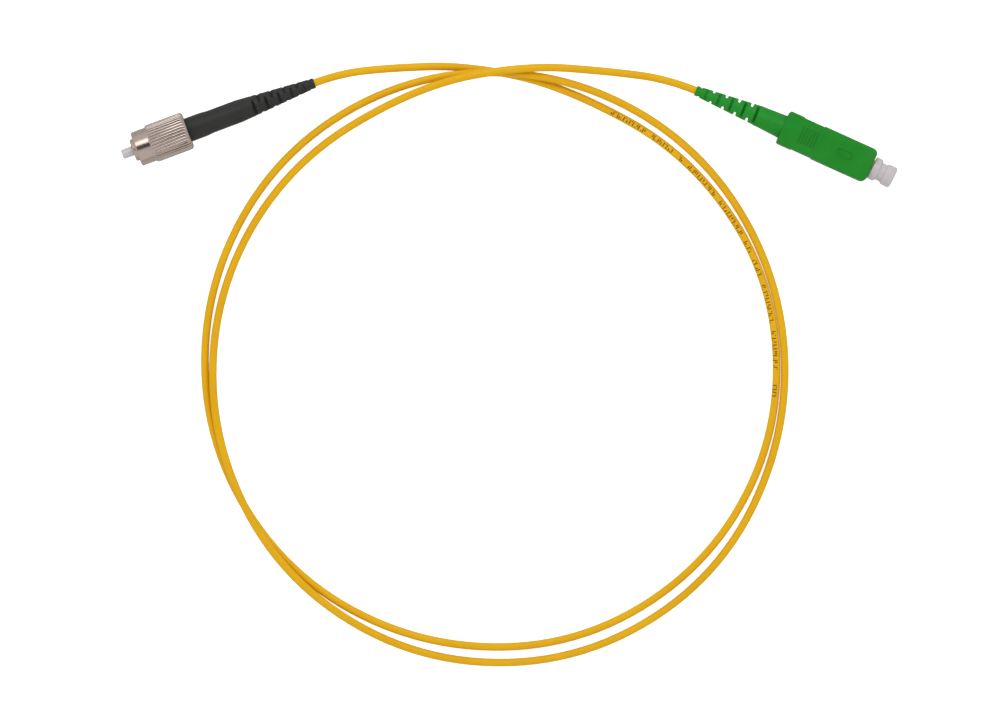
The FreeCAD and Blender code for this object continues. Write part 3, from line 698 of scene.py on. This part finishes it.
# ---------------------------------------------------------------- studio
@dataclass
class Studio:
    """Pale floor, soft lights and the camera that looks straight down."""

    width_seen: float = 0.2584
    centre: tuple[float, float] = (-0.00243, -0.05833)
    lens: float = 250.0
    sensor: float = 36.0
    sharp_height: float = 0.0025
    floor_glow: float = 0.80
    surround: float = 0.85
    rig_height: float = 0.9
    floor_half: float = 3.0
    floor_grey: float = 0.72
    flag_x: tuple[float, float] = (-0.36, 0.36)
    flag_y: tuple[float, float] = (-0.24, 0.23)
    key_place: tuple[float, float] = (-0.05, 0.48)
    key_size: tuple[float, float] = (0.9, 0.45)
    key_watts: float = 2.4

    @staticmethod
    def card(name: str, x: tuple[float, float], y: tuple[float, float], z: float, colour: Colour,
             roughness: float) -> bpy.types.Object:
        """A level rectangle that belongs to the studio.

        Args:
            name: its name.
            x: where it starts and ends across, in metres.
            y: where it starts and ends along.
            z: its height.
            colour: its base colour.
            roughness: its roughness.

        Returns:
            The card, which has one plain material.
        """
        mesh = bpy.data.meshes.new(name)
        corners = [(x[0], y[0], z), (x[1], y[0], z), (x[1], y[1], z), (x[0], y[1], z)]
        mesh.from_pydata(corners, [], [range(4)])
        piece = bpy.data.objects.new(name, mesh)
        bpy.context.scene.collection.objects.link(piece)
        material = bpy.data.materials.new(name + "_matt")
        material.use_nodes = True
        shader = material.node_tree.nodes["Principled BSDF"]
        shader.inputs["Base Color"].default_value = (*colour, 1)
        shader.inputs["Roughness"].default_value = roughness
        mesh.materials.append(material)
        return piece

    def floor(self) -> None:
        """A wide plain floor at the height the cord lies on, a little brighter to the camera."""
        span = (-self.floor_half, self.floor_half)
        piece = self.card("floor", span, span, 0.0, (self.floor_grey,) * 3, 0.9)
        tree = piece.data.materials[0].node_tree
        shader = tree.nodes["Principled BSDF"]
        shader.inputs["Emission Color"].default_value = (1, 1, 1, 1)
        shader.inputs["Specular IOR Level"].default_value = 0.0
        hand = Nodes(tree)
        seen = hand.add("LightPath").outputs["Is Camera Ray"]
        glow = hand.add("Math", {0: seen, 1: self.floor_glow}, operation="MULTIPLY")
        tree.links.new(glow.outputs[0], shader.inputs["Emission Strength"])

    def flag(self) -> None:
        """A black card over the set, unseen by the camera, that keeps glare off what faces up."""
        piece = self.card("flag", self.flag_x, self.flag_y, self.rig_height, (0.05, 0.045, 0.045), 1.0)
        piece.visible_camera = False

    def lamp(self, name: str, place: tuple, size: tuple[float, float], watts: float) -> None:
        """A soft box that faces the middle of the scene.

        Args:
            name: the light's name.
            place: where it hangs, in metres.
            size: its width and height.
            watts: its power.
        """
        light = bpy.data.lights.new(name, "AREA")
        light.shape, light.size, light.size_y, light.energy = "RECTANGLE", size[0], size[1], watts
        lamp = bpy.data.objects.new(name, light)
        lamp.location = place
        aim = Vector((self.centre[0], self.centre[1], 0.0)) - Vector(place)
        lamp.rotation_mode = "QUATERNION"
        lamp.rotation_quaternion = aim.to_track_quat("-Z", "Y")
        bpy.context.scene.collection.objects.link(lamp)

    def light(self) -> None:
        """An even white surround, a wide soft box behind the plugs and a black card over them."""
        world = bpy.data.worlds.new("surround")
        world.use_nodes = True
        back = world.node_tree.nodes["Background"]
        back.inputs["Color"].default_value = (1.0, 1.0, 1.0, 1.0)
        back.inputs["Strength"].default_value = self.surround
        bpy.context.scene.world = world
        self.lamp("key_box", (*self.key_place, self.rig_height), self.key_size, self.key_watts)
        self.flag()
        bpy.context.scene.view_settings.view_transform = "Standard"

    def camera(self) -> None:
        """A long lens straight above the middle of what is seen."""
        data = bpy.data.cameras.new("camera")
        data.lens, data.sensor_width = self.lens, self.sensor
        data.clip_start, data.clip_end = 0.05, 20.0
        cam = bpy.data.objects.new("camera", data)
        height = self.sharp_height + self.width_seen * self.lens / self.sensor
        cam.location = (self.centre[0], self.centre[1], height)
        bpy.context.scene.collection.objects.link(cam)
        bpy.context.scene.camera = cam


# ---------------------------------------------------------------- plugs
@dataclass(frozen=True)
class Tail:
    """The slotted strain relief at the end of a boot, in millimetres behind its start."""

    length: float = 17.10
    root: float = 2.68
    end: float = 1.32
    slot_first: float = 0.40
    slot_pitch: float = 3.45
    slot_half: float = 0.325
    slots: int = 5
    top_lip: float = 0.10
    side_lip: float = 0.30
    top_share: float = 0.40
    side_share: float = 0.58
    least_web: float = 1.15
    edge: float = 0.15
    clear: float = 0.35
    softness: float = 0.045
    turn_deg: float = 0.0

    def radius(self, back: Array) -> Array:
        """The cone's radius: from root to end, in proportion to the distance back."""
        return self.root + (self.end - self.root) * back / self.length

    def centres(self, sideways: bool) -> Array:
        """Where the slots of one direction are: every pitch, the side ones half a pitch later."""
        return self.slot_first + (np.arange(self.slots) + 0.5 * sideways) * self.slot_pitch

    def rows(self) -> Array:
        """Distances back at which the surface has a row: close together on each slot's two lips."""
        near = np.array([0.08, 0.17, 0.24, 0.28, 0.31, 0.34, 0.37, 0.42, 0.48, 0.58])
        near = np.concatenate([-near[::-1], [0.0], near])
        slots = np.concatenate([self.centres(False), self.centres(True)])
        last = self.length - self.edge
        rows = np.unique(np.round(np.concatenate([(slots[:, None] + near).ravel(), [0.0, last]]), 3))
        return rows[(rows >= 0) & (rows <= last)]

    def surface(self, back: Array, radius: Array, angle: Array) -> Array:
        """Radius of the slotted surface.

        Args:
            back: (rows,) distances behind the tail's start.
            radius: (rows,) radius without slots.
            angle: (cols,) angles round the axis, 0 at the side and a quarter turn at the top.

        Returns:
            (rows, cols) radii: the soft minimum of the cone and, in a slot, of the two flats that
            leave a web, web / |sin| for slots from above and web / |cos| for slots from the sides,
            but never less than the sleeve round the cable.
        """
        cone = np.repeat(radius[:, None], len(angle), axis=1)
        total = np.ones_like(cone)
        angle = angle - math.radians(self.turn_deg)
        for sideways, share, lip in ((False, self.top_share, self.top_lip),
                                     (True, self.side_share, self.side_lip)):
            gap = np.abs(back[:, None] - self.centres(sideways)[None, :]).min(axis=1)
            open_ = smoothstep((gap - self.slot_half + lip / 2) / lip)
            slope = np.maximum(np.abs(np.cos(angle) if sideways else np.sin(angle)), 1e-3)
            floor = np.maximum(share * radius[:, None] / slope[None, :], self.least_web)
            limit = floor + (radius[:, None] + self.clear - floor) * open_[:, None]
            total += np.exp(-np.minimum(limit - cone, 3.0) / self.softness)
        return cone - self.softness * np.log(total)


@dataclass(frozen=True)
class Boot:
    """A moulded boot: a smooth body that takes the crimp, and a slotted tail; millimetres."""

    outline: tuple[tuple[float, float], ...]
    bore: tuple[tuple[float, float], ...]
    tail_start: float
    tail: Tail = Tail()
    bend_start: float = 0.0
    bend_length: float = 1.0
    bend_deg: float = 0.0
    cols: int = 128

    def bent(self, grid: Array) -> Array:
        """Bends what lies behind the bend's start towards the plug's right.

        Args:
            grid: (..., 3) points in metres.

        Returns:
            The points, with the distance behind the start wrapped on an arc of length over angle,
            and straight on behind it.
        """
        if not self.bend_deg:
            return grid
        turn = math.radians(self.bend_deg)
        arc = self.bend_length * MM / turn
        back = self.bend_start * MM - grid[..., 0]
        angle = np.clip(back / arc, 0.0, turn)
        beyond = np.maximum(back - self.bend_length * MM, 0.0)
        ahead = np.minimum(back, 0.0)
        x = self.bend_start * MM - arc * np.sin(angle) - beyond * np.cos(angle) - ahead
        y = -arc * (1 - np.cos(angle)) - beyond * np.sin(angle)
        side = grid[..., 1]
        return np.stack([x - side * np.sin(angle), y + side * np.cos(angle), grid[..., 2]], axis=-1)

    def grid(self) -> Array:
        """The boot's closed surface in the plug's own axes.

        Returns:
            Rows from the front over the body and the tail to its end, and back through the bore.
        """
        angle = np.arange(self.cols) * 2 * np.pi / self.cols
        body = eased(self.outline, 0.25, steps=4, closed=False)
        back = self.tail.rows()
        slotted = self.tail.surface(back, self.tail.radius(back), angle)
        last = self.tail_start - self.tail.length
        ring = np.array([(last + 0.04, self.tail.end - 0.04), (last, self.tail.end - 0.13)])
        bore = np.array(self.bore)
        x = np.concatenate([body[:, 0], self.tail_start - back, ring[:, 0], bore[:, 0]])
        r = np.concatenate([np.repeat(body[:, 1:], self.cols, axis=1), slotted,
                            np.repeat(np.concatenate([ring[:, 1:], bore[:, 1:]]), self.cols, axis=1)])
        return self.bent(turned((x, r), self.cols))


@dataclass(frozen=True)
class CouplingNut:
    """The nickel nut: straight ribs outside, a snap ring groove and a true helical thread inside."""

    length: float = 14.20
    rib_radius: float = 5.00
    rib_depth: float = 0.22
    ribs: int = 38
    rib_end: float = 10.20
    rib_bevel: float = 0.55
    nose_radius: float = 4.55
    rear_hole: float = 3.34
    chamber: float = 4.00
    groove: float = 4.35
    minor: float = 3.60
    major: float = 3.98
    pitch: float = 0.75
    thread_start: float = 8.20
    thread_rows: int = 88
    bevel_rows: int = 9
    lip: float = 0.10
    cols: int = 38 * 12

    def grid(self) -> Array:
        """The nut's closed surface in the plug's own axes.

        Returns:
            Rows over the outside from the rear, in at the mouth, down the thread and back through
            the chamber. A rib's height falls with the cube of the distance from its crest,
            nowhere higher than the chamfered outline; the thread's radius is a triangle wave of
            distance over pitch minus turns.
        """
        angle = np.arange(self.cols) * 2 * np.pi / self.cols
        floor = self.rib_radius - self.rib_depth
        rear = eased([(0.0, self.rear_hole + self.lip), (0.0, 4.5), (0.5, self.rib_radius),
                      (1.2, self.rib_radius)], self.lip, steps=6, closed=False)
        fall = np.linspace(0.0, 1.0, self.bevel_rows)[:, None]
        bevel = np.array([[self.rib_end - self.rib_bevel, self.rib_radius]]) * (1 - fall)
        bevel = bevel + np.array([[self.rib_end, floor]]) * fall
        nose = eased([(self.rib_end, self.nose_radius + 0.03), (self.rib_end + 0.12, self.nose_radius),
                      (self.length - 0.25, self.nose_radius), (self.length, self.nose_radius - 0.25),
                      (self.length, self.major + 0.12)], self.lip, steps=4, closed=False)
        outside = np.concatenate([rear, bevel, nose])
        phase = np.abs((self.ribs * angle / (2 * np.pi) + 0.5) % 1.0 - 0.5)
        wave = 1.0 - (2.0 * phase) ** 3
        r = np.repeat(outside[:, 1:], self.cols, axis=1)
        r = np.where(r > floor, np.minimum(r, floor + self.rib_depth * wave[None, :]), r)
        mouth_end = self.length - self.lip
        turns = np.linspace(mouth_end, self.thread_start, self.thread_rows)
        phase = turns[:, None] / self.pitch - angle[None, :] / (2 * np.pi)
        saw = np.abs(2 * (phase - np.floor(phase)) - 1)
        mouth = np.clip((mouth_end - turns) / 0.5, 0.0, 1.0)[:, None]
        thread = self.major - (self.major - self.minor) * np.clip(1.3 * saw - 0.15, 0, 1) * mouth
        inside = np.array([(self.thread_start, self.chamber), (7.03, self.chamber), (7.03, self.groove),
                           (6.22, self.groove), (6.22, self.chamber), (1.6, self.chamber),
                           (1.6, self.rear_hole), (self.lip, self.rear_hole)])
        x = np.concatenate([outside[:, 0], turns, inside[:, 0]])
        r = np.concatenate([r, thread, np.repeat(inside[:, 1:], self.cols, axis=1)])
        return turned((x, r), self.cols)


@dataclass(frozen=True)
class DustCap:
    """The milky cap: a sleeve on the ferrule and a waisted knob that sits a little askew."""

    start: float = 25.25
    tilt_deg: float = 3.0
    knob_corner: int = 5
    steps: int = 7
    cols: int = 96

    def grid(self) -> Array:
        """The cap's surface in the plug's own axes, from the bore's closed end to the knob's.

        Returns:
            Rows of points; those of the knob are turned about the cap's start by the tilt.
        """
        outline = eased([(26.5, 0.001), (26.5, 1.27), (20.75, 1.27), (20.75, 1.95), (25.25, 1.95),
                         (25.25, 3.02), (27.0, 3.02), (27.3, 2.36), (28.65, 2.36), (29.0, 2.84),
                         (31.45, 2.84), (31.5, 0.001)],
                        np.array([0, .05, .1, .15, .05, .25, .35, .3, .3, .35, .75, 0]),
                        steps=self.steps, closed=False)
        grid = turned(outline, self.cols)
        turn = -math.radians(self.tilt_deg)
        knob = np.arange(len(outline)) >= self.knob_corner * self.steps
        x, y = grid[..., 0] - self.start * MM, grid[..., 1]
        leaned = np.stack([x * math.cos(turn) - y * math.sin(turn) + self.start * MM,
                           x * math.sin(turn) + y * math.cos(turn), grid[..., 2]], axis=-1)
        return np.where(knob[:, None, None], leaned, grid)


@dataclass(frozen=True)
class FerruleSpring:
    """The round wire spring behind a ferrule, closed at both ends; millimetres."""

    front: float
    length: float = 4.10
    coil_radius: float = 1.56
    wire: float = 0.16
    turns: float = 6.5
    turn_rows: int = 36
    sides: int = 12

    def grid(self) -> Array:
        """Rows round the wire, which rises slowly in its first and last turn.

        Returns:
            A tube along (x, R cos a, R sin a), with x a smooth step of the angle blended with a
            straight rise.
        """
        t = np.linspace(0.0, 1.0, int(self.turns * self.turn_rows))
        rise = self.length - 2 * self.wire
        x = self.front - self.wire - rise * (0.55 * t + 0.45 * smoothstep(t))
        angle = 2 * np.pi * self.turns * t
        path = np.stack([x, self.coil_radius * np.cos(angle), self.coil_radius * np.sin(angle)],
                        axis=-1)
        return MM * tube_along(path, self.wire, self.sides, np.array([1.0, 0.0, 0.0]))


@dataclass
class Plug:
    """What both plugs do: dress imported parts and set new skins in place."""

    palette: Palette
    place: PlugPlace
    merge_within: float = field(default=2e-6, kw_only=True)
    flat_deg: float = field(default=0.6, kw_only=True)
    bevel_from_deg: float = field(default=35.0, kw_only=True)

    def dress(self, finishes: dict[str, str]) -> None:
        """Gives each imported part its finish, by part name and finish name."""
        for node, finish in finishes.items():
            self.palette.dress(node, finish)

    def soften(self, node: str, body: Body, finish: str, slot: str, edge: float) -> None:
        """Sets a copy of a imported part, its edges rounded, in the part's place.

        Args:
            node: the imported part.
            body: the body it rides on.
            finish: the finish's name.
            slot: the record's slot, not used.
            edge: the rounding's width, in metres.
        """
        mesh = frame["nodes"][node].data.copy()
        mesh.name = node + "_soft"
        hull = bmesh.new()
        hull.from_mesh(mesh)
        bmesh.ops.remove_doubles(hull, verts=hull.verts, dist=self.merge_within)
        bmesh.ops.dissolve_limit(hull, angle_limit=math.radians(self.flat_deg), verts=hull.verts,
                                 edges=hull.edges)
        hull.to_mesh(mesh)
        hull.free()
        mesh.materials.clear()
        piece = finish_piece(mesh, body, self.palette.get(finish), (node,), 30.0)
        bevel = piece.modifiers.new("edges", "BEVEL")
        bevel.width, bevel.segments, bevel.limit_method = edge, 2, "ANGLE"
        bevel.angle_limit = math.radians(self.bevel_from_deg)
        bevel.harden_normals = True

    def skin(self, grid: Array, node: str, body: Body, finish: str, slot: str,
             closed: bool = True) -> None:
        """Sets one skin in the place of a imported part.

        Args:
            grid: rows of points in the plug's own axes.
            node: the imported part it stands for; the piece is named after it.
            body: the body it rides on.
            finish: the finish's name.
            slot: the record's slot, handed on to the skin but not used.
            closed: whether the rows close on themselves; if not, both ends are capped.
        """
        skin = Skin(node + "_skin", self.place.to_world(grid), close_rows=closed, capped=not closed)
        skin.build(body, self.palette.get(finish), slot, node)


@dataclass
class ScrewPlug(Plug):
    """The screw-on plug: ribbed nickel nut, keyed body, white ferrule and black boot."""

    boot: Boot = Boot(
        outline=((0.65, 2.5), (0.65, 3.14), (-4.2, 3.14), (-6.2, 2.95), (-14.0, 2.95), (-16.5, 2.76),
                 (-17.74, 2.682)),
        bore=((-34.85, 1.06), (-8.6, 1.05), (-8.55, 1.45), (-6.9, 1.45), (-6.9, 2.45), (0.65, 2.45)),
        tail_start=-17.75, tail=Tail(turn_deg=-36.0))
    nut: CouplingNut = CouplingNut()
    spring: FerruleSpring = FerruleSpring(front=7.15)

    def build(self) -> None:
        """Dresses the inner parts, softens the body, and makes the nut, boot and spring."""
        self.dress({
            "fc_back_body": "nickel_plate", "fc_ferrule_flange": "nickel_plate",
            "fc_nut_retaining_ring": "spring_wire",
            "fc_ferrule": "zirconia", "fc_bare_fibre": "bare_glass", "fc_crimp_ring": "crimp_sleeve",
            "fc_crimped_yarn": "aramid_yarn", "fc_buffered_fibre": "buffer_coat",
            "fc_cable_end": "yellow_jacket",
        })
        self.soften("fc_plug_body", Body.CORD, "nickel_plate", "nickel", 0.05 * MM)
        self.skin(self.nut.grid(), "fc_coupling_nut", Body.FC_NUT, "nickel_plate", "nickel")
        self.skin(self.boot.grid(), "fc_boot", Body.CORD, "black_boot", "rubber_black")
        self.skin(self.spring.grid(), "fc_ferrule_spring", Body.CORD, "spring_wire", "steel_spring",
                  closed=False)


@dataclass
class SquarePlug(Plug):
    """The square plug: green grip and boot, white inner frame, ferrule under a milky cap."""

    boot: Boot = Boot(
        outline=((1.9, 2.5), (1.9, 2.85), (0.1, 2.85), (0.1, 3.10), (-0.2, 3.09), (-6.3, 2.75),
                 (-7.29, 2.75)),
        bore=((-24.4, 1.06), (-7.3, 1.05), (-7.1, 1.45), (-5.45, 1.45), (-5.45, 2.45), (1.9, 2.45)),
        tail_start=-7.3, bend_start=-6.3, bend_deg=2.3)
    cap: DustCap = DustCap()
    spring: FerruleSpring = FerruleSpring(front=15.15)

    def build(self) -> None:
        """Dresses the inner parts, softens grip and frame, and makes the boot, cap and spring."""
        self.dress({
            "sc_stop_ring": "nickel_plate", "sc_ferrule_flange": "nickel_plate",
            "sc_ferrule": "zirconia", "sc_bare_fibre": "bare_glass", "sc_crimp_ring": "crimp_sleeve",
            "sc_crimped_yarn": "aramid_yarn", "sc_buffered_fibre": "buffer_coat",
            "sc_cable_end": "yellow_jacket",
        })
        self.soften("sc_grip_body", Body.SC_GRIP, "green_grip", "grip_green", 0.10 * MM)
        self.soften("sc_plug_frame", Body.CORD, "frame_white", "frame_white", 0.05 * MM)
        self.skin(self.boot.grid(), "sc_boot", Body.CORD, "green_boot", "rubber_green")
        self.skin(self.cap.grid(), "sc_dust_cap", Body.SC_CAP, "milky_cap", "cap_clear",
                  closed=False)
        self.skin(self.spring.grid(), "sc_ferrule_spring", Body.CORD, "spring_wire", "steel_spring",
                  closed=False)


def main() -> None:
    """Builds the studio, the cord and the plugs."""
    logging.basicConfig(level=logging.INFO)
    palette = Palette()
    studio = Studio()
    studio.camera()
    Cord(palette).build()
    screw = PlugPlace.from_record("fc_nut_slide", "fc_thread", CouplingNut.length * MM)
    square = PlugPlace.from_record("sc_grip_slide", "sc_plug_front", GRIP_LENGTH)
    ScrewPlug(palette, screw).build()
    SquarePlug(palette, square).build()
    studio.floor()
    studio.light()


if __name__ == "__main__":
    main()
